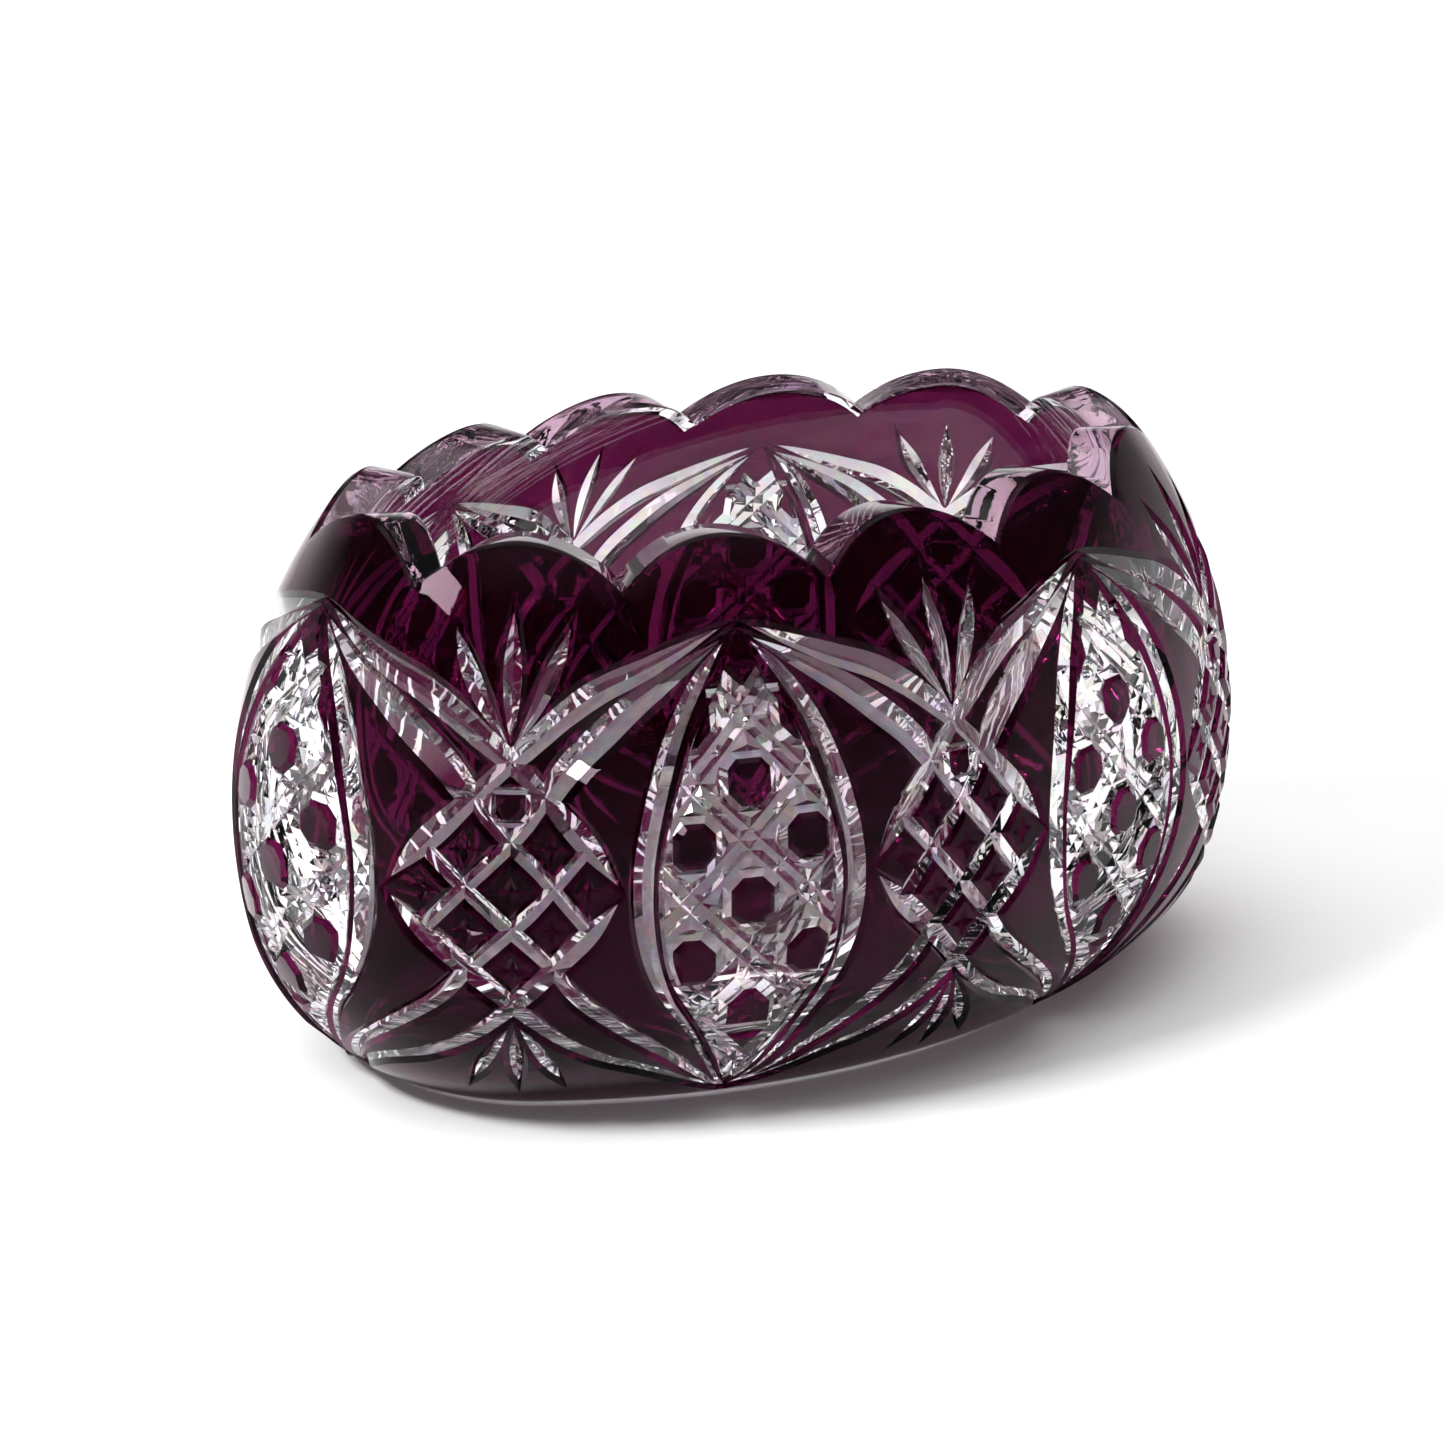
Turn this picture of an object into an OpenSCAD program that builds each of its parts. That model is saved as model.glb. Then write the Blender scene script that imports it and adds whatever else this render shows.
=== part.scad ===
// Oval centrepiece bowl of cased glass, cut to clear. Millimetres, +Z up.
// Origin: middle of the foot, on the surface it stands on. +X runs along the bowl.
// The clear body carries a thin coloured casing; the cuts go through the casing
// into the body and part it into islands, each of them a solid of its own.

/* [Rim outline] */
// Radius of the rim outline's two ends
end_r = 46.25; // [45.25:0.5:47.25]
// Distance from the centre of an end's arc to the centre of a side's arc
centres = 100; // [98:1:102]

/* [Side profile] */
// Height of the rim notches
notch_h = 114; // [111:1:117]
// Rise of each scallop above the notches
scallop_rise = 9.5; // [8:0.5:10]
// How far the belly stands out past the rim outline
bulge = 18; // [16:1:20]
// Height of the belly's widest line
belly_h = 54; // [52:1:56]
// Radius of the belly's upright curve
belly_r = 110; // [105:1:115]
// Radius of the curve from the belly to the foot
foot_r = 42; // [40:1:44]

/* [Glass] */
// Thickness of the wall, casing included
wall_t = 9; // [8:0.5:10]
// Thickness of the casing
casing_t = 1.6; // [1.2:0.1:2]
// Thickness of the floor
floor_t = 12; // [10:0.5:14]
// Height at which the casing stops above the ground foot
foot_land = 0.8; // [0.6:0.1:1.2]
// Radius between the inside of the wall and the floor
inside_r = 30; // [28:1:32]

/* [Cutting] */
// Half width of a mitre cut for each millimetre of its depth
mitre_spread = 1.15; // [1:0.05:1.3]
// Across the flats of a cane button
button_w = 9.6; // [9:0.2:10]
// Part of its lattice cell that a diamond keeps
diamond_keep = 0.62; // [0.5:0.02:0.7]

/* [Hidden] */
$fn = 96;
SCALLOPS = 12;
GLASS_CLEAR = [0.93, 0.93, 0.95];
GLASS_AMETHYST = [0.27, 0.06, 0.22];

// The outline is four tangent arcs: two ends about (end_x, 0), two sides about (0, side_y).
// JOIN is the direction they meet in, with short decimals so that they meet exactly.
JOIN = [0.5376, 0.8432];
join_deg = atan2(JOIN[1], JOIN[0]);
end_x = centres * JOIN[0];
rim_a = end_x + end_r;
side_y = -centres * JOIN[1];
side_r = end_r + centres;
rim_b = side_r + side_y;
end_len = end_r * join_deg * PI / 180;
quarter_len = end_len + side_r * (90 - join_deg) * PI / 180;
bay = quarter_len * 4 / SCALLOPS;

// The profile is two tangent arcs; foot_low is where the lower one would bottom out.
foot_low = -2;
belly_x = bulge - belly_r;
foot_deg = asin((belly_h - foot_r - foot_low) / (belly_r - foot_r));
foot_x = belly_x + (belly_r - foot_r) * cos(foot_deg);
foot_z = belly_h - (belly_r - foot_r) * sin(foot_deg);
join_z = belly_h - belly_r * sin(foot_deg);
CROSS = 0.25;

// Scallops are arcs over a chord of one bay.
scallop_r = (bay * bay / 4 + scallop_rise * scallop_rise) / (2 * scallop_rise);
top_z = notch_h + scallop_rise + 20;

// Middles of the fans in half the bowl
FANS = [bay, 3 * bay, 5 * bay];
reach = 30;

// The pattern is laid out flat: x along the rim outline from a fan's middle, z the height,
// then the depth of cut. It is drawn for a bay of 43.2 and a notch height of 114, and a
// vesica's middle line is one bay from a fan's.
KX = bay / 43.2;
KZ = notch_h / 114;
LONG_CUT = [[43.2, 108, 0.8], [24, 100.5, 2.8], [9, 92.5, 3], [0, 84, 2.5]];
LONG_TAIL = [[0, 84, 2.5], [-10, 71, 3], [-19.8, 57, 0.8]];
SECOND_CUT = [[43.2, 106, 0.6], [30, 99, 2.8], [17, 90, 3.2], [5.8, 76, 2.4]];
SECOND_TAIL = [[5.8, 76, 2.4], [-6.6, 58.5, 2.3], [-13.2, 49.6, 2.3]];
THIRD_CUT = [[-13.2, 66.8, 2.2], [0, 49.6, 2.3], [6.6, 41, 2.3]];
THIRD_SPRAY = [[6.6, 41, 2.3], [17.6, 28, 2.2], [31, 15.5, 2.1], [43.2, 4, 2]];
FOURTH_CUT = [[-19.8, 57, 0.8], [-10, 44.5, 3], [0, 32.4, 2.3]];
FOURTH_SPRAY = [[0, 32.4, 2.3], [15, 19.5, 2.2], [32, 11, 2.1], [43.2, 4, 2]];
CRESCENT = [[42.6, 107, 0.6], [36.2, 99.5, 2.2], [30.2, 90, 2.6], [25, 74, 3], [23, 57, 3]];
CRESCENT_FOOT = [[23, 57, 3], [24, 44, 2.8], [29, 30, 2.4], [35.5, 17, 2.2], [43.2, 4, 2]];
FAN_RAY = [[0, 86, 1], [-7, 101, 2.6], [-12.5, 112, 0.2]];
FAN_STEM = [[0, 86, 1], [0, 102.5, 2.6], [0, 115, 0.2]];
FOOT_RAY = [[0, 28, 0.6], [-5, 18, 2.2], [-9.5, 10, 0.2]];
FOOT_STEM = [[0, 28, 0.6], [0, 17, 2.2], [0, 8.5, 0.2]];
ALL_CUTS = [LONG_CUT, LONG_TAIL, SECOND_CUT, SECOND_TAIL, THIRD_CUT, THIRD_SPRAY, FOURTH_CUT,
            FOURTH_SPRAY, CRESCENT, CRESCENT_FOOT, FAN_RAY, FAN_STEM, FOOT_RAY, FOOT_STEM];

// Islands of casing, as flat outlines whose corners lie in the valleys of the cuts round them.
FLANK = [[7, 75.6], [17, 89.4], [28, 97], [34.6, 98.4], [30.2, 90], [25, 74], [22.4, 58],
         [20.4, 58], [11, 71]];
WAIST = [[22.4, 56], [24, 44], [29, 30], [35, 17], [38, 11.5], [31, 16.5], [18, 28], [8, 40.8],
         [11, 44.5], [20.4, 56]];
SPRAY = [[1.4, 32.8], [6.6, 39.6], [17.2, 27], [30, 15.8], [36, 10.4], [32, 11.6], [15, 20.5]];
APEX = [[37.2, 99.5], [42, 106], [44.4, 106], [49.2, 99.5], [49, 96.5], [37.4, 96.5]];

// Cane buttons from a vesica's middle line, and the lattice of three by three diamonds
BUTTONS = [[0, 78], [10.8, 66], [0, 54], [10.8, 41], [0, 29]];
CELL_X = 6.6;
CELL_Z = 8.6;
LATTICE_TOP = 84;
CROWN_BUTTON_W = 4.2;

// ---- places on the wall -------------------------------------------------

function unit(v) = v / norm(v);
// s runs along half the outline, from the end at +X over the side at +Y.
function heading(s) = s > quarter_len ? 180 - heading(2 * quarter_len - s)
    : s <= end_len ? s / end_r * 180 / PI
    : join_deg + (s - end_len) / side_r * 180 / PI;
function outline(s) = let(h = heading(s), d = [cos(h), sin(h)])
    s > quarter_len ? let(p = outline(2 * quarter_len - s)) [-p[0], p[1]]
    : s <= end_len ? [end_x, 0] + end_r * d : [0, side_y] + side_r * d;
function stand_out(z) = z > join_z
    ? belly_x + sqrt(belly_r * belly_r - (z - belly_h) * (z - belly_h))
    : foot_x + sqrt(max(foot_r * foot_r - (z - foot_z) * (z - foot_z), 0));
function pitch(z) = z > join_z ? asin((z - belly_h) / belly_r) : asin((z - foot_z) / foot_r);
function on_wall(s, z) = let(h = heading(s), o = outline(s))
    [o[0] + stand_out(z) * cos(h), o[1] + stand_out(z) * sin(h), z];
function out_of_wall(s, z) = let(h = heading(s), p = pitch(z))
    [cos(p) * cos(h), cos(p) * sin(h), sin(p)];

// Puts its children at a point of the wall: x along along, z outwards.
module lay(at, along, outwards) {
    ex = unit(along);
    ez = unit(outwards - (outwards * ex) * ex);
    ey = cross(ez, ex);
    multmatrix([[ex[0], ey[0], ez[0], at[0]], [ex[1], ey[1], ez[1], at[1]],
                [ex[2], ey[2], ez[2], at[2]], [0, 0, 0, 1]])
        children();
}

module at_wall(s, z) {
    h = heading(s);
    lay(on_wall(s, z), [-sin(h), cos(h), 0], out_of_wall(s, z)) children();
}

// ---- sweeping a profile round half of the outline ------------------------

// Region inside the wall's profile, for a belly and foot radius drawn about the same centres.
// The foot's circle stands CROSS further out, so that it crosses its neighbours cleanly.
module profile(r_belly, r_foot, low, inwards) {
    deg = asin((belly_h - r_foot - low) / (r_belly - r_foot));
    cx = belly_x + (r_belly - r_foot) * cos(deg);
    cz = belly_h - (r_belly - r_foot) * sin(deg);
    far = [cx + 90 * cos(deg), cz - 90 * sin(deg)];
    intersection() {
        translate([belly_x, belly_h]) circle(r_belly, $fn = 240);
        translate([-inwards, low]) square([inwards + 60, top_z - low]);
        union() {
            polygon([[-inwards, cz], [cx, cz], far, [far[0], top_z], [-inwards, top_z]]);
            intersection() {
                translate([cx + CROSS, cz - CROSS]) circle(r_foot, $fn = 160);
                polygon([[cx, cz], far, [far[0], low - 5], [cx, low - 5]]);
            }
            translate([-inwards, low - 5]) square([cx + inwards, cz - low + 5]);
        }
    }
}

module above_table(inwards) {
    intersection() {
        children();
        translate([-inwards, 0]) square([inwards + 60, top_z]);
    }
}

module glass_profile(inwards) {
    above_table(inwards) difference() {
        profile(belly_r - casing_t, foot_r - casing_t, foot_low + casing_t, inwards);
        profile(belly_r - wall_t, inside_r, floor_t, inwards + 1);
    }
}

module casing_profile() {
    above_table(reach) difference() {
        profile(belly_r, foot_r, foot_low, reach);
        profile(belly_r - casing_t, foot_r - casing_t, foot_low + casing_t, reach + 1);
    }
}

// Swept from where the arcs meet, back to a little past the bowl's long axis.
module end_sector() {
    translate([end_x, 0, 0]) rotate([0, 0, join_deg]) mirror([0, 1, 0])
        rotate_extrude(angle = join_deg + 3, $fn = 180) translate([end_r, 0]) children();
}

// Swept a little too far and trimmed where the other end's arc begins.
module side_sector() {
    intersection() {
        translate([0, side_y, 0]) rotate([0, 0, join_deg])
            rotate_extrude(angle = 182 - 2 * join_deg, $fn = 480)
                translate([side_r, 0]) children();
        mirror([1, 0, 0]) translate([0, side_y, -10]) rotate([0, 0, join_deg])
            cube([side_r + 40, side_r + 40, top_z + 10]);
    }
}

module both_ways(axis) {
    children();
    mirror(axis) children();
}

// Everything below the scalloped top edge: one horizontal cylinder to each scallop.
module crown() {
    for (i = [0 : SCALLOPS / 2]) {
        o = outline(i * bay);
        translate([o[0], o[1], notch_h + scallop_rise - scallop_r])
            rotate([0, 0, heading(i * bay)]) rotate([0, 90, 0])
                cylinder(r = scallop_r, h = 44, center = true);
    }
    translate([-rim_a - 40, -1, -1]) cube([2 * rim_a + 80, rim_b + 40, notch_h - 22]);
}

// ---- cutting -------------------------------------------------------------

// One straight stretch of a V cut, from flat point p to flat point q.
module mitre(p, q) {
    m = (p + q) / 2;
    n = out_of_wall(m[0], m[1]);
    a = on_wall(p[0], p[1]) - p[2] * out_of_wall(p[0], p[1]);
    b = on_wall(q[0], q[1]) - q[2] * out_of_wall(q[0], q[1]);
    lift = 7;
    lap = 1.6;
    lay((a + b) / 2, b - a, n) rotate([90, 0, 90])
        linear_extrude(norm(b - a) + lap, center = true)
            polygon([[0, 0], [lift * mitre_spread, lift], [-lift * mitre_spread, lift]]);
}

function laid(p, fan, side) = concat([fan + side * p[0] * KX, p[1] * KZ],
                                     len(p) > 2 ? [p[2]] : []);

// One path's cuts at the fans that reach this half, on both of their sides.
module cuts(path) {
    for (fan = [-bay : 2 * bay : 7 * bay], side = [-1, 1])
        if (side == 1 || path[1][0] != 0)
            for (i = [1 : len(path) - 1]) {
                p = laid(path[i - 1], fan, side);
                q = laid(path[i], fan, side);
                if (max(p[0], q[0]) > -3 && min(p[0], q[0]) < 6 * bay + 3) mitre(p, q);
            }
}

// Its children with the given cuts made one path after another.
module carve(paths, last = undef) {
    n = is_undef(last) ? len(paths) - 1 : last;
    difference() {
        if (n == 0) children();
        else carve(paths, n - 1) children();
        cuts(paths[n]);
    }
}

// Prism through the wall over flat points, square to the wall at their middle.
module patch(points) {
    mid = middle(points);
    h = heading(mid[0]);
    at = on_wall(mid[0], mid[1]);
    ez = out_of_wall(mid[0], mid[1]);
    ex = [-sin(h), cos(h), 0];
    ey = cross(ez, ex);
    at_wall(mid[0], mid[1]) translate([0, 0, -12]) linear_extrude(20)
        polygon([for (p = points) let(w = on_wall(p[0], p[1]) - at) [w * ex, w * ey]]);
}

function middle(points, i = 0, sum = [0, 0]) = i == len(points) ? sum / i
    : middle(points, i + 1, sum + [points[i][0], points[i][1]]);

// Everything from a path to the height z, one patch to each stretch, a little overlapped.
module fence(path, z) {
    lap = 1;
    for (fan = FANS, side = [-1, 1], i = [1 : len(path) - 1]) {
        p = laid(path[i - 1], fan, side);
        q = laid(path[i], fan, side);
        past = p[0] > q[0] ? lap : -lap;
        patch([[p[0] + past, p[1]], [q[0] - past, q[1]], [q[0] - past, z], [p[0] + past, z]]);
    }
}

// ---- glass ---------------------------------------------------------------

module upper_half(high = top_z, low = 0) {
    translate([-rim_a - 40, 0, low]) cube([2 * rim_a + 80, rim_b + 40, high - low]);
}

module glass_half() {
    intersection() {
        union() {
            both_ways([1, 0, 0]) end_sector() glass_profile(end_r);
            side_sector() glass_profile(rim_b + 4);
        }
        upper_half();
        crown();
    }
}

module casing_half() {
    intersection() {
        union() {
            both_ways([1, 0, 0]) end_sector() casing_profile();
            side_sector() casing_profile();
        }
        upper_half();
    }
}

// The part of the casing half between two heights.
module casing_belt(low, high) {
    intersection() {
        casing_half();
        upper_half(high, low);
    }
}

// Islands of one outline, one on either side of each fan.
module islands(outline_points, paths) {
    both_ways([0, 1, 0]) intersection() {
        carve(paths) casing_half();
        union() for (fan = FANS, side = [-1, 1])
            patch([for (p = outline_points) laid(p, fan, side)]);
    }
}

// The whole ring of casing, for the small islands that sit on its axes.
module casing_ring() {
    both_ways([0, 1, 0]) casing_half();
}

// Mirror images of a child that stands at s on the quarter, with no image drawn twice.
module images(s) {
    for (mx = [0, 1], my = [0, 1])
        if (!(my == 1 && s < 0.01) && !(mx == 1 && s > 3 * bay - 0.01))
            mirror([mx, 0, 0]) mirror([0, my, 0]) children();
}

module button_prism(s, z, width) {
    images(s) at_wall(s, z) rotate([0, 0, 22.5])
        translate([0, 0, -6]) cylinder(d = width / cos(22.5), h = 12, $fn = 8);
}

module crystal_body() {
    color(GLASS_CLEAR) both_ways([0, 1, 0]) carve(ALL_CUTS) glass_half();
}

module rim_casing() {
    color(GLASS_AMETHYST) both_ways([0, 1, 0])
        carve([LONG_CUT, FAN_RAY, FAN_STEM]) difference() {
            intersection() {
                casing_belt(80 * KZ, top_z);
                crown();
            }
            fence(LONG_CUT, 70 * KZ);
        }
}

module apex_casings() {
    color(GLASS_AMETHYST) both_ways([0, 1, 0]) intersection() {
        carve([LONG_CUT, SECOND_CUT, CRESCENT]) casing_half();
        union() for (fan = [-bay : 2 * bay : 5 * bay]) patch([for (p = APEX) laid(p, fan, 1)]);
    }
}

module flank_casings() {
    color(GLASS_AMETHYST) islands(FLANK, [SECOND_CUT, LONG_TAIL, CRESCENT]);
}

module waist_casings() {
    color(GLASS_AMETHYST) islands(WAIST, [FOURTH_CUT, THIRD_SPRAY, CRESCENT_FOOT]);
}

module spray_casings() {
    color(GLASS_AMETHYST) islands(SPRAY, [THIRD_CUT, THIRD_SPRAY, FOURTH_CUT, FOURTH_SPRAY]);
}

module base_casing() {
    color(GLASS_AMETHYST) both_ways([0, 1, 0])
        carve([FOURTH_SPRAY, THIRD_SPRAY, CRESCENT_FOOT, FOOT_RAY, FOOT_STEM]) difference() {
            casing_belt(foot_land, 36 * KZ);
            fence(FOURTH_SPRAY, 50 * KZ);
        }
}

module cane_buttons() {
    color(GLASS_AMETHYST) intersection() {
        casing_ring();
        union() for (middle_line = [0, 2 * bay], b = BUTTONS, side = b[0] == 0 ? [1] : [-1, 1]) {
            s = middle_line + side * b[0] * KX;
            if (s > -0.01) button_prism(s, b[1] * KZ, button_w);
        }
    }
}

module lattice_diamonds() {
    half_x = CELL_X * KX * diamond_keep;
    half_z = CELL_Z * KZ * diamond_keep;
    color(GLASS_AMETHYST) intersection() {
        casing_ring();
        union() for (fan = [bay, 3 * bay], i = [0 : 2], j = [0 : 2]) {
            s = fan + (j - i) * CELL_X * KX;
            z = (LATTICE_TOP - CELL_Z * (i + j + 1)) * KZ;
            if (i + j > 0 && s < 3 * bay + 0.01)
                images(s) patch([[s - half_x, z], [s, z - half_z], [s + half_x, z], [s, z + half_z]]);
        }
    }
}

module crown_buttons() {
    color(GLASS_AMETHYST) intersection() {
        casing_ring();
        union() for (fan = [bay, 3 * bay])
            button_prism(fan, (LATTICE_TOP - CELL_Z) * KZ, CROWN_BUTTON_W);
    }
}

crystal_body();
rim_casing();
apex_casings();
flank_casings();
waist_casings();
spray_casings();
base_casing();
cane_buttons();
lattice_diamonds();
crown_buttons();
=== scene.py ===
"""Looks of the oval cased bowl: the wall is cut flat, one bay at a time, then bent round the outline."""

import math

import bpy
import numpy as np
from mathutils import Matrix, Vector


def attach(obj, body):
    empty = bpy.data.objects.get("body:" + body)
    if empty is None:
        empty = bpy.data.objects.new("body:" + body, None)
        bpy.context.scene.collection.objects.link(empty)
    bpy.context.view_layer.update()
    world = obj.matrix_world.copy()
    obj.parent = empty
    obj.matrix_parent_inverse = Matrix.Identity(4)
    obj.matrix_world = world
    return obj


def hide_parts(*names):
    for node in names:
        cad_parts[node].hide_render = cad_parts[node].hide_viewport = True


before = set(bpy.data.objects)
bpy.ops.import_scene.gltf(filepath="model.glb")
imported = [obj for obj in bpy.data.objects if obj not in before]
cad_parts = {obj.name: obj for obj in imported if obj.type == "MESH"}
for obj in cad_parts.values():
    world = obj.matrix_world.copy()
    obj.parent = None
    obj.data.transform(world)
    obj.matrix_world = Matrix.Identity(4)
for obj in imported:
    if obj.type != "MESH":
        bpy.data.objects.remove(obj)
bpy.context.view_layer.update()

MM = 0.001
MERGE = 0.004 * MM

# ---- the bowl's outline and wall profile, in millimetres, as in the part's source ----

END_R, CENTRES = 46.25, 100.0
JOIN = math.atan2(0.8432, 0.5376)
END_X, SIDE_Y = CENTRES * 0.5376, -CENTRES * 0.8432
SIDE_R = END_R + CENTRES
END_LEN = END_R * JOIN
QUARTER = END_LEN + SIDE_R * (math.pi / 2 - JOIN)
BAYS = 12
BAY = QUARTER * 4 / BAYS
NOTCH_H, SCALLOP_RISE = 114.0, 9.5
BULGE, BELLY_H, BELLY_R, FOOT_R, FOOT_LOW = 18.0, 54.0, 110.0, 42.0, -2.0
WALL, CASING, FLOOR, INSIDE_R, FOOT_LAND = 9.0, 1.0, 12.0, 30.0, 0.8
BELLY_X = BULGE - BELLY_R
FOOT_TILT = math.asin((BELLY_H - FOOT_R - FOOT_LOW) / (BELLY_R - FOOT_R))
FOOT_X = BELLY_X + (BELLY_R - FOOT_R) * math.cos(FOOT_TILT)
FOOT_Z = BELLY_H - (BELLY_R - FOOT_R) * math.sin(FOOT_TILT)
TABLE_TILT = math.asin(-FOOT_Z / FOOT_R)
TURN = FOOT_R * (-FOOT_TILT - TABLE_TILT)
# The cutting pattern is drawn on a bay this wide and fitted to the real one
SPAN = 43.2
KX = BAY / SPAN


def outline(s):
    """Point and outward direction of the rim outline at arc length s from the end at +X."""
    s = np.mod(s, 4 * QUARTER)
    back = s > 2 * QUARTER
    s = np.where(back, 4 * QUARTER - s, s)
    left = s > QUARTER
    s = np.where(left, 2 * QUARTER - s, s)
    end = s <= END_LEN
    heading = np.where(end, s / END_R, JOIN + (s - END_LEN) / SIDE_R)
    radius = np.where(end, END_R, SIDE_R)
    mx, my = np.where(left, -1, 1), np.where(back, -1, 1)
    x = (np.where(end, END_X, 0) + radius * np.cos(heading)) * mx
    y = (np.where(end, 0, SIDE_Y) + radius * np.sin(heading)) * my
    return x, y, np.cos(heading) * mx, np.sin(heading) * my


def wall(v):
    """How far the wall stands out, its height and its tilt at v along its profile from the table."""
    foot = v < TURN
    tilt = np.where(foot, TABLE_TILT + v / FOOT_R, -FOOT_TILT + (v - TURN) / BELLY_R)
    out = np.where(foot, FOOT_X + FOOT_R * np.cos(tilt), BELLY_X + BELLY_R * np.cos(tilt))
    z = np.where(foot, FOOT_Z + FOOT_R * np.sin(tilt), BELLY_H + BELLY_R * np.sin(tilt))
    return out, z, tilt


def climb(z):
    """Distance along the wall's profile from the table to the height z."""
    if z > BELLY_H - BELLY_R * math.sin(FOOT_TILT):
        return TURN + BELLY_R * (math.asin((z - BELLY_H) / BELLY_R) + FOOT_TILT)
    return FOOT_R * (math.asin((z - FOOT_Z) / FOOT_R) - TABLE_TILT)


def stand_out(z):
    """How far the wall stands out at the height z."""
    return float(wall(climb(z))[0])


def bend(s, v, h):
    """Flat points (s round the outline, v up the wall, h above its surface) on the bowl, in metres."""
    x, y, nx, ny = outline(s)
    out, z, tilt = wall(v)
    reach = out + h * np.cos(tilt)
    return np.stack((x + reach * nx, y + reach * ny, z + h * np.sin(tilt)), 1) * MM


# ---- small modelling helpers ---------------------------------------------------------


def only(*objects):
    """Selects these objects and nothing else."""
    bpy.ops.object.select_all(action="DESELECT")
    for o in objects:
        o.select_set(True)
    if objects:
        bpy.context.view_layer.objects.active = objects[0]


def edit(o):
    """Opens a piece for editing with all of it selected."""
    only(o)
    bpy.ops.object.mode_set(mode="EDIT")
    bpy.ops.mesh.select_all(action="SELECT")


def edited():
    bpy.ops.object.mode_set(mode="OBJECT")


def face_outwards(o):
    edit(o)
    bpy.ops.mesh.normals_make_consistent(inside=False)
    edited()


def bring(name, points, faces):
    """A new mesh from points and faces."""
    mesh = bpy.data.meshes.new(name)
    mesh.from_pydata([tuple(map(float, p)) for p in points], [], faces)
    o = bpy.data.objects.new(name, mesh)
    bpy.context.scene.collection.objects.link(o)
    return o


def twin(o, name):
    """A copy with its own mesh."""
    copy = bpy.data.objects.new(name, o.data.copy())
    bpy.context.scene.collection.objects.link(copy)
    return copy


def away(*objects):
    for o in objects:
        bpy.data.objects.remove(o, do_unlink=True)


def boolean(blank, tool, operation="DIFFERENCE", solver="MANIFOLD"):
    """Cuts the tool out of the blank, or keeps only what is inside it."""
    only(blank)
    m = blank.modifiers.new("cut", "BOOLEAN")
    m.object, m.operation, m.solver = tool, operation, solver
    bpy.ops.object.modifier_apply(modifier=m.name)


def block(name, low, high):
    """A box between two corners, in flat millimetres."""
    only()
    mid = [(a + b) / 2 for a, b in zip(low, high)]
    bpy.ops.mesh.primitive_cube_add(size=1, location=mid)
    o = bpy.context.object
    o.name = name
    o.scale = [b - a for a, b in zip(low, high)]
    bpy.ops.object.transform_apply(location=True, rotation=True, scale=True)
    return o


def read(o):
    """All points of a piece as rows of x, y, z."""
    co = np.empty(len(o.data.vertices) * 3)
    o.data.vertices.foreach_get("co", co)
    return co.reshape(-1, 3)


def write(o, co):
    o.data.vertices.foreach_set("co", np.ascontiguousarray(co, float).ravel())
    o.data.update()


# ---- the cutting wheel ---------------------------------------------------------------


def curve(points, step=1.6):
    """A smooth line through the given points (x, v, depth)."""
    p = [np.array(q, float) for q in points]
    p = [2 * p[0] - p[1]] + p + [2 * p[-1] - p[-2]]
    line = []
    for a, b, c, d in zip(p, p[1:], p[2:], p[3:]):
        n = max(1, round(float(np.linalg.norm((c - b)[:2])) / step))
        for t in np.arange(n) / n:
            q = 0.5 * (2 * b + (c - a) * t + (2 * a - 5 * b + 4 * c - d) * t**2)
            line.append(q + 0.5 * (3 * b - a - 3 * c + d) * t**3)
    line.append(p[-2])
    return line


def wheel(path, left=1.15, right=1.15, lift=2.5):
    """The V that a mitre wheel takes out along a path; left and right are the slopes of its two faces."""
    path = [np.array(q, float) for q in path]
    points, faces = [], []
    for i, q in enumerate(path):
        along = (path[min(i + 1, len(path) - 1)] - path[max(i - 1, 0)])[:2]
        side = np.array((-along[1], along[0])) / np.linalg.norm(along)
        depth = max(q[2], 0.02)
        a, b = q[:2] + side * left * (depth + lift), q[:2] - side * right * (depth + lift)
        points += [(q[0], q[1], -depth), (b[0], b[1], lift), (a[0], a[1], lift)]
    for i in range(len(path) - 1):
        k = 3 * i
        for m in range(3):
            n = (m + 1) % 3
            faces.append((k + m, k + 3 + m, k + 3 + n, k + n))
    faces += [(0, 1, 2), (len(points) - 1, len(points) - 2, len(points) - 3)]
    return bring("wheel", points, faces)


def plate(corners, low, high):
    """An upright prism over flat corners."""
    n = len(corners)
    points = [(x, v, low) for x, v in corners] + [(x, v, high) for x, v in corners]
    faces = [tuple(range(n))[::-1], tuple(range(n, 2 * n))]
    faces += [(i, (i + 1) % n, n + (i + 1) % n, n + i) for i in range(n)]
    return bring("plate", points, faces)


def flat(points):
    """Pattern points (x from the fan's middle, height, depth) in flat millimetres."""
    return [(q[0] * KX, climb(q[1]), *q[2:]) for q in points]


# Mitres, as points on the wall: distance from the fan's middle, height, depth.
LONG = [(43.2, 108.5, 0.3), (38, 106.6, 1.3), (32, 104, 2.1), (24, 100.5, 2.8), (15.7, 97, 3.1),
        (9, 92.5, 3.0), (4, 88, 2.8), (0, 84, 2.5)]
LONG_TAIL = [(0, 84, 2.5), (-5.7, 77, 2.6), (-13, 67.2, 3.0), (-19.8, 57, 0.4)]
SECOND = [(43.2, 107, 0.3), (38, 104.3, 1.3), (32, 101, 2.1), (22.4, 95, 2.9), (16, 89.5, 3.1),
          (10, 83.5, 3.0), (5.7, 77, 2.6)]
SECOND_TAIL = [(5.7, 77, 2.4), (0, 68, 2.3), (-6.6, 59, 2.3), (-13.2, 49.4, 2.3)]
THIRD = [(-13.2, 66.8, 2.2), (-6.6, 58.2, 2.3), (0, 49.6, 2.3), (6.6, 41, 2.3)]
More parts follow.
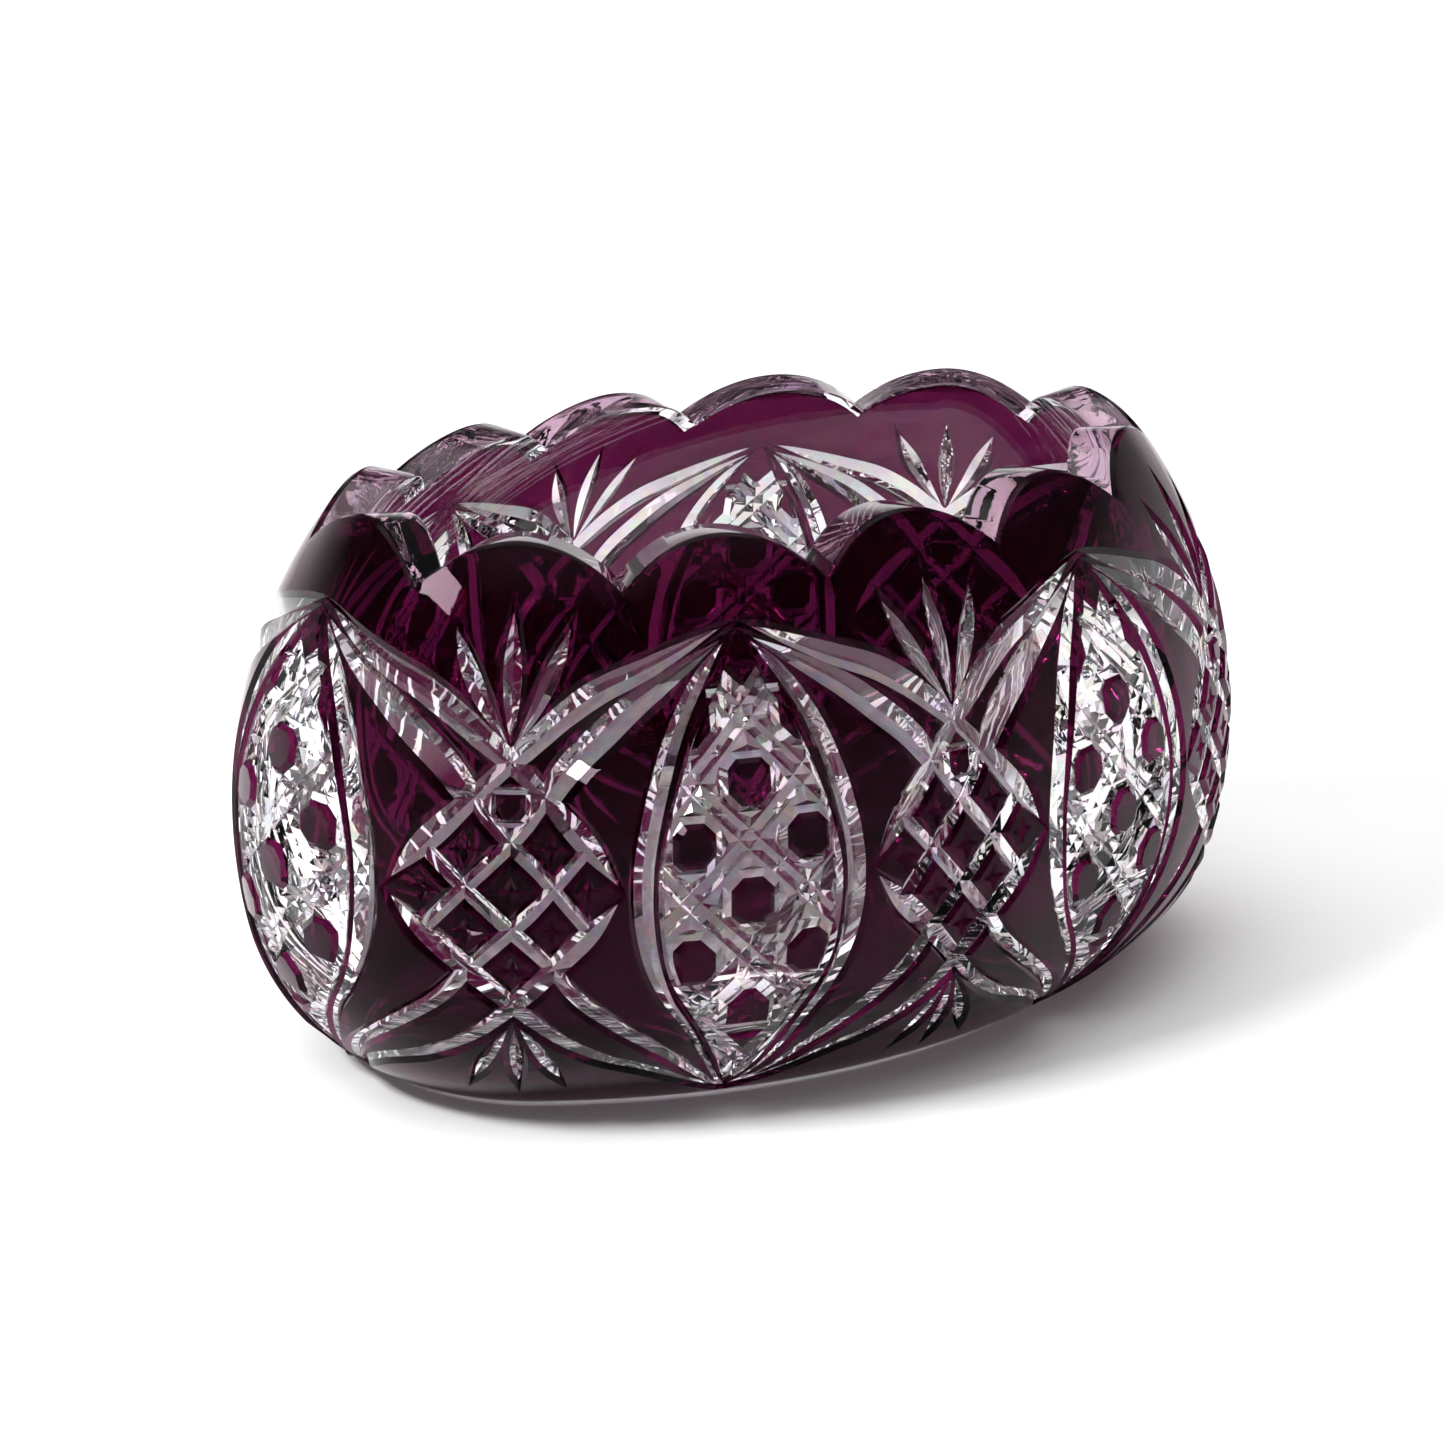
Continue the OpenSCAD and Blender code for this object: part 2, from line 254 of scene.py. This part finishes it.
THIRD_SPRAY = [(6.6, 41, 2.3), (11.3, 34, 2.4), (17.6, 27.8, 2.4), (25, 21.4, 2.3), (31.6, 15.4, 2.1),
               (43.2, 4, 1.6)]
FOURTH = [(-19.8, 57, 0.4), (-13.4, 48.6, 2.8), (-6.6, 40.6, 2.8), (0, 32.4, 2.4)]
FOURTH_SPRAY = [(0, 32.4, 2.4), (6.6, 25.1, 2.3), (15.2, 19, 2.2), (25.6, 14.4, 2.1), (34, 9.4, 1.8),
                (43.2, 4, 1.4)]
CRESCENT = [(42.9, 107.2, 0.2), (36.1, 100, 2.1), (30.2, 90, 2.6), (26.2, 78, 2.8), (23.7, 66, 2.8),
            (23, 57, 2.8), (23.4, 48.5, 2.7), (25, 40, 2.4), (28, 32, 1.9), (33.2, 22.5, 1.6),
            (43.2, 4, 1.4)]
VESICA = [(42.4, 106.5), (38.9, 97.5), (33.7, 88.5), (30.1, 77.5), (27.4, 65.5), (26.6, 57), (27.2, 46),
          (29, 37), (35.8, 22.5), (43.2, 5.5)]
FAN_RAY = [(0, 86.5, 0.8), (-4.4, 94.6, 2.1), (-8.2, 102.6, 2.3), (-12.5, 112, 0.1)]
FAN_STEM = [(0, 86.5, 0.8), (0, 95, 2.1), (0, 104, 2.3), (0, 116, 0.1)]
FOOT_RAY = [(0, 29, 0.6), (-3.6, 21, 1.9), (-6.4, 15.4, 1.8), (-9.5, 10, 0.1)]
FOOT_STEM = [(0, 29, 0.6), (0, 21, 1.9), (0, 15, 1.8), (0, 8.8, 0.1)]
APEX_BAR = [(36, 95.8, 1.9), (43.2, 95.8, 2.1), (50.4, 95.8, 1.9)]
# Where shallow cuts would leave neighbouring fields joined by a thread of casing, it is parted
PARTINGS = [LONG[:4], VESICA[:4], APEX_BAR, [(38, 103.6), (43.2, 103.6), (48.4, 103.6)],
            CRESCENT[:3], CRESCENT[7:], THIRD_SPRAY[2:], FOURTH_SPRAY[1:],
            [(-13, 67.2), (-19.8, 57), (-24, 50.5)], [(-13.4, 48.6), (-19.8, 57), (-24, 63)]]
PARTING_DEPTH, PARTING_SLOPE = 2.4, 0.003

# Buttons and cross cuts of the caned vesicas, from the vesica's middle line
CANE_ROWS = (90.1, 65.9, 41.1, 16.8)
CANE_LEVELS = (84.2, 72.1, 60.0, 47.4, 35.0, 24.0)
CANE_UPRIGHTS = (5.4, 16.1)
CANE_GAP = 1.45
CANE_RUN, CANE_FALL = 10.8, 12.1
CANE_DEPTH, CANE_CROSS_DEPTH = 2.9, 2.3

# Lattice of three by three diamonds
CELL_X, CELL_Z, LATTICE_TOP = 6.6, 8.6, 84.0

BODY_LOW = FOOT_R * (math.asin(-FOOT_Z / (FOOT_R - CASING)) - TABLE_TILT)
CASING_LOW = climb(FOOT_LAND)
SKIN_TOP = 130.0
TOP = climb(SKIN_TOP)
SEAM = 0.01
SLAB = 6.0
# A bay is ruled into this many strips across and up, so that it bends smoothly
ACROSS, UP = 22, 74
FOOT_RING, FOOT_HOLLOW = 5.0, 0.6
# The rim's ground edge: bevel outside, slope across its top, and how finely its scallops are stepped
BEVEL, BEVEL_DROP, CROWN_STEPS, CROWN_TOP = 0.6, 0.8, 44, 150.0


def reaches(path):
    """Whether a flat path comes near this bay."""
    xs = [q[0] for q in path]
    return max(xs) > -4 and min(xs) < BAY + 4


def mirrored(path):
    """The path and its images about the fan's middle and the vesica's, where they reach this bay."""
    images = [(path, False)]
    images.append(([(-q[0], *q[1:]) for q in path], True))
    images.append(([(2 * BAY - q[0], *q[1:]) for q in path], True))
    return [(p, flipped) for p, flipped in images if reaches(p)]


def mitre(blanks, path, left=1.15, right=1.15, images=True, keep_in=None):
    """Cuts one mitre, with its images in the neighbouring half patterns, into the blanks."""
    line = curve(flat(path)) if len(path) > 2 else flat(path)
    for points, flipped in mirrored(line) if images else [(line, False)]:
        tool = wheel(points, right if flipped else left, left if flipped else right)
        if keep_in:
            boolean(tool, keep_in, "INTERSECT")
        if len(tool.data.polygons):
            for blank in blanks:
                boolean(blank, tool)
        away(tool)


def cane(blanks):
    """Cross cuts that leave octagonal buttons and small pyramids inside the vesica."""
    side = curve([(*q, 0) for q in flat(VESICA)])
    corners = [(q[0], q[1]) for q in side] + [(2 * BAY - q[0], q[1]) for q in reversed(side)]
    inside = plate(corners, -4, 4)
    length = math.hypot(CANE_RUN, CANE_FALL)
    for row in CANE_ROWS:
        for gap in (-CANE_GAP, CANE_GAP):
            for way in (-1, 1):
                lift = gap * length / CANE_RUN
                ends = [(SPAN + way * t * CANE_RUN, row + lift - t * CANE_FALL, CANE_DEPTH)
                        for t in (-1.9, 1.9)]
                ends = [(x, min(max(z, 0.5), 128), d) for x, z, d in clip(ends)]
                mitre(blanks, ends, 1.1, 1.1, False, inside)
    for z in CANE_LEVELS:
        mitre(blanks, [(x, z, CANE_CROSS_DEPTH) for x in (22, 64)], 1.0, 1.0, False, inside)
    for x in CANE_UPRIGHTS:
        for way in (-1, 1):
            upright = [(SPAN + way * x, z, CANE_CROSS_DEPTH) for z in (12, 93)]
            mitre(blanks, upright, 1.0, 1.0, False, inside)
    away(inside)


def clip(ends):
    """Shortens a straight line so that both ends stay on the wall."""
    (x0, z0, d0), (x1, z1, _) = ends
    t0 = min(max((126 - z0) / (z1 - z0), 0), 1) if z0 > 126 else 0
    t1 = min(max((2 - z0) / (z1 - z0), 0), 1) if z1 < 2 else 1
    return [(x0 + t * (x1 - x0), z0 + t * (z1 - z0), d0) for t in (t0, t1)]


def strawberry(blanks):
    """Small cross cuts on the coloured diamonds, and the clear top cell with its button."""
    for i in range(3):
        for j in range(3):
            x, z = (j - i) * CELL_X, LATTICE_TOP - CELL_Z * (i + j + 1)
            if x < -0.1:
                continue
            if i + j == 0:
                for e in (-3.3, 3.3):
                    mitre(blanks, [(-2.6, z + e, 2.0), (2.6, z + e, 2.0)], 0.75, 0.75, False)
                mitre(blanks, [(3.0, z - 2.6, 2.0), (3.0, z + 2.6, 2.0)], 0.75, 0.75, False)
                continue
            arm = [(x - 2.5, z, 0.1), (x, z, 1.0), (x + 2.5, z, 0.1)]
            mitre(blanks, arm, 1.1, 1.1, False)
            mitre(blanks, [(x, z - 3.1, 0.1), (x, z, 1.0), (x, z + 3.1, 0.1)], 1.1, 1.1, False)


def cut_bay():
    """One flat bay of the wall, from a fan's middle to a vesica's, with every cut in it."""
    blank = block("bay", (0, BODY_LOW, -SLAB), (BAY, TOP, 0))
    blanks = [blank]
    mitre(blanks, LONG, 1.15, 1.3)
    mitre(blanks, LONG_TAIL, 0.95, 1.1)
    mitre(blanks, SECOND, 1.55, 1.1)
    for path in (SECOND_TAIL, THIRD):
        mitre(blanks, path, 1.0, 1.0)
    mitre(blanks, FOURTH, 1.15, 1.0)
    mitre(blanks, THIRD_SPRAY, 1.0, 1.0)
    mitre(blanks, FOURTH_SPRAY, 1.0, 1.0)
    mitre(blanks, CRESCENT, 1.0, 1.0)
    cane(blanks)
    edge = [(*q, min(2.0, 0.3 + 0.35 * i, 0.4 + 0.5 * (len(VESICA) - i))) for i, q in enumerate(VESICA)]
    mitre(blanks, edge, 0.8, 0.8)
    mitre(blanks, APEX_BAR, 0.9, 0.9, False)
    for path in (FAN_RAY, FAN_STEM):
        mitre(blanks, path, 1.1, 1.1)
    for path in (FOOT_RAY, FOOT_STEM):
        mitre(blanks, path, 1.0, 1.0)
    strawberry(blanks)
    return blank


def rule(o, across, up):
    """Cuts a flat piece along evenly spaced lines, so that it can bend."""
    edit(o)
    for k in range(1, across):
        bpy.ops.mesh.select_all(action="SELECT")
        bpy.ops.mesh.bisect(plane_co=(BAY * k / across, 0, 0), plane_no=(1, 0, 0))
    for k in range(1, up):
        bpy.ops.mesh.select_all(action="SELECT")
        bpy.ops.mesh.bisect(plane_co=(0, BODY_LOW + (TOP - BODY_LOW) * k / up, 0), plane_no=(0, 1, 0))
    edited()


def drop_faces(o, test):
    """Deletes the faces whose middle and direction pass the test."""
    edit(o)
    bpy.ops.mesh.select_mode(type="FACE")
    bpy.ops.mesh.select_all(action="DESELECT")
    edited()
    for p in o.data.polygons:
        p.select = bool(test(p.center, p.normal))
    bpy.ops.object.mode_set(mode="EDIT")
    bpy.ops.mesh.delete(type="FACE")
    edited()


def round_the_bowl(bay, name):
    """Twelve copies of a flat bay, every other one mirrored, bent round the outline and joined."""
    flat_co = read(bay)
    copies = []
    for k in range(BAYS // 2):
        for side in (-1, 1):
            o = twin(bay, name)
            along = (2 * k + 1) * BAY + side * flat_co[:, 0]
            write(o, bend(along, flat_co[:, 1], flat_co[:, 2]))
            o.data.attributes.new("along", "FLOAT", "POINT").data.foreach_set("value", along)
            if side == 1:
                o.data.flip_normals()
            copies.append(o)
    only(*copies)
    bpy.ops.object.join()
    whole = bpy.context.object
    whole.name = name
    edit(whole)
    bpy.ops.mesh.remove_doubles(threshold=MERGE)
    edited()
    return whole


# ---- the wall's casing and body --------------------------------------------------------


def part_of(bay, name, low, high):
    """The part of a flat bay between two corners."""
    piece = twin(bay, name)
    box = block("box", low, high)
    boolean(piece, box, "INTERSECT")
    away(box)
    return piece


def loose_parts(o):
    edit(o)
    bpy.ops.mesh.separate(type="LOOSE")
    edited()
    return list(bpy.context.selected_objects)


def kind_of(o):
    """Which kind of casing island of one flat bay this is; the smallest are chips between cane cuts."""
    co = read(o)
    low, high = co.min(0), co.max(0)
    x, z = (low[0] + high[0]) / 2 / KX, float(wall((low[1] + high[1]) / 2)[1])
    wide, tall = (high - low)[:2]
    if high[1] > TOP - 0.5:
        return "rim"
    if low[1] < CASING_LOW + 0.5:
        return "base"
    if tall > 40 or wide > 17:
        return "flank" if z > 50 else "waist" if high[1] > climb(46) else "spray"
    if x > 36 and z > 91:
        return "apex"
    if x > 26.5:
        return "button"
    return "crown" if z > 68 and x < 4 and tall < 7 else "diamond"


def set_slot(o, slot, test):
    """Gives the faces that pass the test a material slot of their own, and the others the first."""
    for p in o.data.polygons:
        p.material_index = slot if test(p.center, p.normal) else 0


def open_ends(o):
    """Takes away the flat ends of a bay, where the next bay carries on."""
    drop_faces(o, lambda c, n: (c.x < 0.001 or c.x > BAY - 0.001) and abs(n.x) > 0.9)


def casings(bay):
    """The casing's islands, each kind one piece round the whole bowl."""
    sheet = part_of(bay, "casing", (-1, CASING_LOW, SEAM - CASING), (BAY + 1, TOP + 1, 1))
    for path in PARTINGS:
        mitre([sheet], [(q[0], q[1], PARTING_DEPTH) for q in path], PARTING_SLOPE, PARTING_SLOPE)
    kinds = {}
    for o in loose_parts(sheet):
        kinds.setdefault(kind_of(o), []).append(o)
    pieces = {}
    for kind, parts in kinds.items():
        only(*parts)
        if len(parts) > 1:
            bpy.ops.object.join()
        o = bpy.context.view_layer.objects.active
        rule(o, ACROSS, UP)
        set_slot(o, 1, lambda c, n: abs(c.z - (SEAM - CASING)) < 0.001 and n.z < -0.9)
        open_ends(o)
        pieces[kind] = round_the_bowl(o, kind)
        away(o)
    return pieces


def body(bay):
    """The crystal's outer skin round the whole bowl, open at its top and its foot."""
    skin = part_of(bay, "crystal", (-1, BODY_LOW - 1, -SLAB - 1), (BAY + 1, TOP + 1, -CASING))
    rule(skin, ACROSS, UP)
    set_slot(skin, 1, lambda c, n: abs(c.z + CASING) < 0.001 and n.z > 0.9 and c.y > CASING_LOW)
    open_ends(skin)
    drop_faces(skin, lambda c, n: (c.z < 0.01 - SLAB and n.z < -0.9)
               or (c.y < BODY_LOW + 0.001 and n.y < -0.9) or (c.y > TOP - 0.001 and n.y > 0.9))
    whole = round_the_bowl(skin, "crystal")
    away(skin)
    return whole


def inner_line():
    """The inside of the glass, from above the rim to the edge of the flat floor: (reach, height)."""
    r = BELLY_R - WALL
    tilt = math.asin((BELLY_H - INSIDE_R - FLOOR) / (r - INSIDE_R))
    high = math.asin((SKIN_TOP - BELLY_H) / r)
    line = [(BELLY_X + r * math.cos(a), BELLY_H + r * math.sin(a)) for a in np.linspace(high, -tilt, 44)]
    cx, cz = BELLY_X + (r - INSIDE_R) * math.cos(tilt), BELLY_H - (r - INSIDE_R) * math.sin(tilt)
    turn = np.linspace(-tilt, -math.pi / 2, 17)[1:]
    return line + [(cx + INSIDE_R * math.cos(a), cz + INSIDE_R * math.sin(a)) for a in turn]


def select_rim(o, high):
    """Selects the open edge loop at the top of the skin, or at its foot."""
    edit(o)
    bpy.ops.mesh.select_mode(type="EDGE")
    bpy.ops.mesh.select_all(action="SELECT")
    bpy.ops.mesh.region_to_loop()
    edited()
    co = read(o)
    for e in o.data.edges:
        if e.select and (co[e.vertices[0]][2] > BELLY_H * MM) != high:
            e.select = False
    chosen = {i for e in o.data.edges if e.select for i in e.vertices}
    for v in o.data.vertices:
        v.select = v.index in chosen
    bpy.ops.object.mode_set(mode="EDIT")
    bpy.ops.mesh.select_mode(type="VERT")
    bpy.ops.mesh.select_mode(type="EDGE")
    edited()


def close_body(o):
    """Turns the skin over the top, down the inside and across the floor, and closes the foot."""
    select_rim(o, True)
    for reach, z in inner_line():
        bpy.ops.object.mode_set(mode="EDIT")
        bpy.ops.mesh.extrude_region_move()
        edited()
        along = o.data.attributes["along"].data
        for v in o.data.vertices:
            if v.select:
                x, y, nx, ny = (float(q) for q in outline(along[v.index].value))
                v.co = ((x + reach * nx) * MM, (y + reach * ny) * MM, z * MM)
    bpy.ops.object.mode_set(mode="EDIT")
    bpy.ops.mesh.edge_face_add()
    edited()
    select_rim(o, False)
    bpy.ops.object.mode_set(mode="EDIT")
    bpy.ops.mesh.edge_face_add()
    bpy.ops.mesh.select_mode(type="FACE")
    bpy.ops.mesh.inset(thickness=FOOT_RING * MM)
    bpy.ops.transform.translate(value=(0, 0, FOOT_HOLLOW * MM))
    edited()
    face_outwards(o)


def crown():
    """What the rim's twelve scallops, with their ground bevels, leave no glass in."""
    radius = (BAY**2 / 4 + SCALLOP_RISE**2) / (2 * SCALLOP_RISE)
    inner_r = BELLY_R - WALL
    points, faces = [], []
    for i in range(BAYS * CROWN_STEPS):
        s = (i / CROWN_STEPS) * BAY
        x = ((s / BAY + 0.5) % 1 - 0.5) * BAY
        high = NOTCH_H + SCALLOP_RISE - radius + math.sqrt(radius**2 - x * x)
        crest = (high - NOTCH_H) / SCALLOP_RISE
        inner_high = high - BEVEL_DROP * crest + BEVEL_DROP * (1 - crest)
        outer = stand_out(high)
        inner = BELLY_X + math.sqrt(inner_r**2 - (inner_high - BELLY_H) ** 2)
        section = [(outer + 9, high - 0.5 * (9 + BEVEL)), (outer - BEVEL, high), (inner + 1, inner_high),
                   (inner - 9, inner_high - 5), (inner - 30, CROWN_TOP), (outer + 9, CROWN_TOP)]
        ox, oy, nx, ny = (float(q) for q in outline(s))
        points += [((ox + r * nx) * MM, (oy + r * ny) * MM, z * MM) for r, z in section]
    count, sides = len(points), len(section)
    for i in range(0, count, sides):
        for m in range(sides):
            n = (m + 1) % sides
            faces.append((i + m, i + n, (i + sides + n) % count, (i + sides + m) % count))
    o = bring("crown", points, faces)
    face_outwards(o)
    return o


# ---- materials -------------------------------------------------------------------------


class Socket:
    """A shader value that plain arithmetic can be done with."""

    def __init__(self, made, socket):
        self.made, self.socket = made, socket

    def math(self, operation, *others):
        return self.made.node("ShaderNodeMath", 0, (self, *others), operation=operation)

    def __add__(self, other):
        return self.math("ADD", other)

    def __mul__(self, other):
        return self.math("MULTIPLY", other)

    def __rsub__(self, other):
        return self.made.node("ShaderNodeMath", 0, (other, self), operation="SUBTRACT")

    __radd__, __rmul__ = __add__, __mul__


class Material:
    """A node material under construction."""

    def __init__(self, name):
        self.data = bpy.data.materials.new(name)
        self.data.use_nodes = True
        self.tree = self.data.node_tree
        self.tree.nodes.clear()

    def node(self, kind, output, inputs, **settings):
        made = self.tree.nodes.new(kind)
        for key, value in settings.items():
            setattr(made, key, value)
        for key, value in (enumerate(inputs) if isinstance(inputs, tuple) else inputs.items()):
            if isinstance(value, Socket):
                self.tree.links.new(value.socket, made.inputs[key])
            else:
                made.inputs[key].default_value = value
        return Socket(self, made.outputs[output])

    def place(self):
        return self.node("ShaderNodeTexCoord", "Object", ())

    def finish(self, surface):
        end = self.tree.nodes.new("ShaderNodeOutputMaterial")
        self.tree.links.new(surface.socket, end.inputs["Surface"])
        return self.data


def clear_crystal():
    """Polished lead crystal with the faintest drawn unevenness, and painted rainbow glints mixed into its
    colour.
    """
    m = Material("clear_crystal")
    wave = m.node("ShaderNodeTexNoise", "Fac", {"Vector": m.place(), "Scale": 55.0, "Detail": 2.0})
    bump = m.node("ShaderNodeBump", "Normal", {"Height": wave, "Strength": 0.05, "Distance": 0.0006})
    rough = 0.012 * wave
    # Random coloured cells mixed into the glass's colour: painted rainbow glints that stand in for
    # dispersion
    painted_rainbow_glint = m.node("ShaderNodeTexVoronoi", "Color", {"Vector": m.place(), "Scale": 320.0})
    tint = m.node("ShaderNodeMix", 2, {0: 0.22, 6: (0.98, 0.92, 0.96, 1), 7: painted_rainbow_glint}, data_type="RGBA")
    return m.finish(m.node("ShaderNodeBsdfPrincipled", "BSDF", {
        "Base Color": tint, "Roughness": rough, "IOR": 1.54,
        "Transmission Weight": 1.0, "Normal": bump}))


def amethyst_casing():
    """Amethyst glass: black in the thickness, magenta where light comes through once."""
    m = Material("amethyst_casing")
    place = m.place()
    cloud = m.node("ShaderNodeTexNoise", "Fac", {"Vector": place, "Scale": 28.0, "Detail": 3.0})
    tint = m.node("ShaderNodeMix", 2, {0: cloud, 6: (0.065, 0.003, 0.028, 1), 7: (0.11, 0.0065, 0.050, 1)},
                  data_type="RGBA")
    wave = m.node("ShaderNodeTexNoise", "Fac", {"Vector": place, "Scale": 60.0, "Detail": 2.0})
    bump = m.node("ShaderNodeBump", "Normal", {"Height": wave, "Strength": 0.05, "Distance": 0.0005})
    return m.finish(m.node("ShaderNodeBsdfPrincipled", "BSDF", {
        "Base Color": tint, "Roughness": 0.015 * wave + 0.002, "IOR": 1.3,
        "Specular Tint": (0.22, 0.17, 0.2, 1),
        "Transmission Weight": 1.0, "Normal": bump}))


def polished_rim_painted_shade():
    """The rim's polished edge, with painted shade: the casing's dark colour, as seen through the glass's
    thickness, is painted into the edge's own colour.
    """
    m = Material("polished_rim_painted_shade")
    wave = m.node("ShaderNodeTexNoise", "Fac", {"Vector": m.place(), "Scale": 90.0, "Detail": 2.0})
    tint = m.node("ShaderNodeMix", 2, {0: wave, 6: (0.16, 0.05, 0.10, 1), 7: (0.34, 0.16, 0.26, 1)},
                  data_type="RGBA")
    return m.finish(m.node("ShaderNodeBsdfPrincipled", "BSDF", {
        "Base Color": tint, "Roughness": 0.03 * wave + 0.01, "IOR": 1.54, "Transmission Weight": 1.0}))


def fused_face():
    """The face where casing and crystal are one glass: light passes straight on."""
    m = Material("fused_face")
    return m.finish(m.node("ShaderNodeBsdfTransparent", "BSDF", {"Color": (1, 1, 1, 1)}))


# ---- finished pieces -------------------------------------------------------------------

# edge is the rim's material: painted shade that stands in for the casing seen through the clear glass
crystal, amethyst, fused, edge = clear_crystal(), amethyst_casing(), fused_face(), polished_rim_painted_shade()
flat_bay = cut_bay()
pieces = casings(flat_bay)
pieces["crystal"] = body(flat_bay)
close_body(pieces["crystal"])
top = crown()
for name in ("crystal", "rim"):
    boolean(pieces[name], top)
    # The quick solver sometimes leaves the ring uncut
    if read(pieces[name])[:, 2].max() > (NOTCH_H + SCALLOP_RISE + 1) * MM:
        boolean(pieces[name], top, solver="EXACT")
away(top, flat_bay)
# The rim's top is polished: its faces look up and lie above the notches, and they take the painted shade of
# the casing seen through the glass
for p in pieces["crystal"].data.polygons:
    if p.center.z > (NOTCH_H - 6) * MM and p.normal.z > 0.62:
        p.material_index = 2
for o in pieces.values():
    face_outwards(o)
    bpy.ops.object.shade_smooth_by_angle(angle=math.radians(22))

NODE_OF = {"crystal": "crystal_body", "rim": "rim_casing", "apex": "apex_casings", "flank": "flank_casings",
           "waist": "waist_casings", "spray": "spray_casings", "base": "base_casing",
           "button": "cane_buttons", "diamond": "lattice_diamonds", "crown": "crown_buttons"}
for name, o in pieces.items():
    o.name = o.data.name = NODE_OF[name] + "_glass"
    slots = [p.material_index for p in o.data.polygons]
    o.data.materials.clear()
    o.data.materials.append(crystal if name == "crystal" else amethyst)
    o.data.materials.append(fused)
    # The rim's top faces (slot 2) take the painted shade of the casing seen through the glass
    if name == "crystal":
        o.data.materials.append(edge)
    o.data.polygons.foreach_set("material_index", slots)
    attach(o, "root")
    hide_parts(NODE_OF[name])
    "clear_crystal" if name == "crystal" else "amethyst_casing"


# ---- floor, light and camera --------------------------------------------------------------

only()
bpy.ops.mesh.primitive_plane_add(size=8)
floor = bpy.context.object
floor.name = "floor"
m = Material("pale_floor")
grain = m.node("ShaderNodeTexNoise", "Fac", {"Vector": m.place(), "Scale": 40.0, "Detail": 2.0})
floor.data.materials.append(m.finish(m.node("ShaderNodeBsdfPrincipled", "BSDF", {
    "Base Color": (0.93, 0.93, 0.935, 1), "Roughness": 0.05 * grain + 0.6, "Specular IOR Level": 0.1})))

# A pale horizon, a dark zone above it and a bright opening overhead
world = bpy.data.worlds.new("studio")
bpy.context.scene.world = world
world.use_nodes = True
tree = world.node_tree
tree.nodes.clear()
coord = tree.nodes.new("ShaderNodeTexCoord")
split = tree.nodes.new("ShaderNodeSeparateXYZ")
tree.links.new(coord.outputs["Generated"], split.inputs[0])
ramp = tree.nodes.new("ShaderNodeValToRGB")
tree.links.new(split.outputs["Z"], ramp.inputs[0])
ramp.color_ramp.elements[0].position, ramp.color_ramp.elements[0].color = 0.08, (1, 1, 1, 1)
ramp.color_ramp.elements[1].position, ramp.color_ramp.elements[1].color = 0.36, (0.06, 0.06, 0.06, 1)
for height, light in ((0.72, 0.10), (0.86, 1.5)):
    ramp.color_ramp.elements.new(height).color = (light, light, light, 1)
sky = tree.nodes.new("ShaderNodeBackground")
tree.links.new(ramp.outputs["Color"], sky.inputs["Color"])
sky.inputs["Strength"].default_value = 1.0
out = tree.nodes.new("ShaderNodeOutputWorld")
tree.links.new(sky.outputs[0], out.inputs["Surface"])


def lamp(name, place, size, power, mirrored=True):
    data = bpy.data.lights.new(name, "AREA")
    data.shape, data.size, data.size_y, data.energy = "RECTANGLE", size[0], size[1], power
    o = bpy.data.objects.new(name, data)
    bpy.context.scene.collection.objects.link(o)
    o.location = place
    o.rotation_euler = (Vector((0, 0, 0.06)) - o.location).to_track_quat("-Z", "Y").to_euler()
    o.visible_glossy = o.visible_transmission = mirrored


# The window is mirrored in the front left scallop; the fills only lighten the floor
lamp("window", (-0.92, 0.0, 0.90), (0.40, 0.15), 14.0)
for side, place in enumerate(((-1.3, -1.0, 0.35), (1.2, -1.1, 0.35), (1.2, 1.2, 0.5), (-1.2, 1.3, 0.5))):
    lamp("low_fill_%d" % side, place, (1.4, 0.5), 3.6, False)

sun_data = bpy.data.lights.new("soft_sun", "SUN")
sun_data.energy, sun_data.angle = 1.0, math.radians(60)
sun = bpy.data.objects.new("soft_sun", sun_data)
bpy.context.scene.collection.objects.link(sun)
sun.rotation_euler = Vector((0.25, -0.14, -1)).to_track_quat("-Z", "Y").to_euler()
sun.visible_glossy = False

# Camera: aimed at the bowl's middle from the front left, turned a little about its own axis
camera_data = bpy.data.cameras.new("camera")
camera_data.lens, camera_data.sensor_width = 111.7, 36.0
camera = bpy.data.objects.new("camera", camera_data)
bpy.context.scene.collection.objects.link(camera)
aim, place = Vector((-0.0062, 0, 0.0629)), Vector((-0.5233, -0.7609, 0.3797))
turn = (aim - place).to_track_quat("-Z", "Y").to_matrix() @ Matrix.Rotation(math.radians(0.2), 3, "Z")
camera.matrix_world = Matrix.Translation(place) @ turn.to_4x4()
bpy.context.scene.camera = camera

scene = bpy.context.scene
scene.view_settings.view_transform = "Standard"
scene.view_settings.look = "None"
cycles = scene.cycles
cycles.max_bounces, cycles.transmission_bounces, cycles.transparent_max_bounces = 24, 24, 32
cycles.glossy_bounces, cycles.diffuse_bounces = 8, 3
cycles.caustics_refractive, cycles.caustics_reflective = True, False
